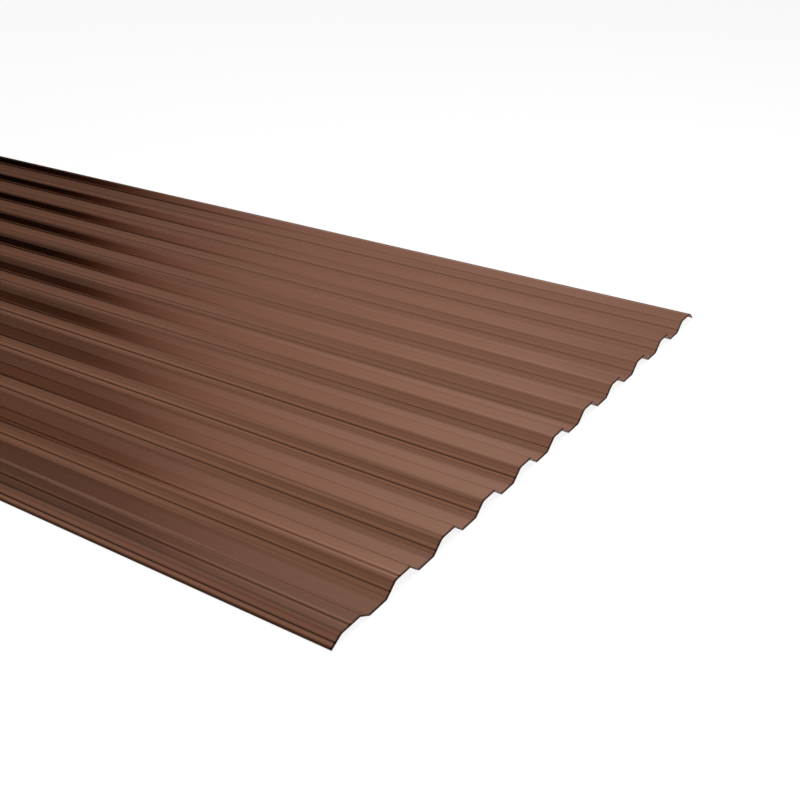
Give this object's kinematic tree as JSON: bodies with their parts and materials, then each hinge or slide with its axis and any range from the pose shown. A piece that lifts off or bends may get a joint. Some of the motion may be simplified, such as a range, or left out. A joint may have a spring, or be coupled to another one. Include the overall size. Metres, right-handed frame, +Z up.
{
  "type": "corrugated polycarbonate sheet",
  "caption": "Flat-topped corrugated plastic roofing sheet, its waves running along its length, with a lower wave along one long edge for the side lap.",
  "frame": {"origin": "middle of the sheet on plan, at the underside of its valleys", "axes": "+X along the waves, +Y across the waves towards the edge that laps over, +Z up, to the crests"},
  "size_m": [2, 0.8186, 0.0128],
  "materials": {
    "sheet": "smooth bronze-brown plastic, semi-gloss"
  },
  "bodies": {
    "root": {"corrugated_sheet": "sheet"}
  },
  "joints": []
}
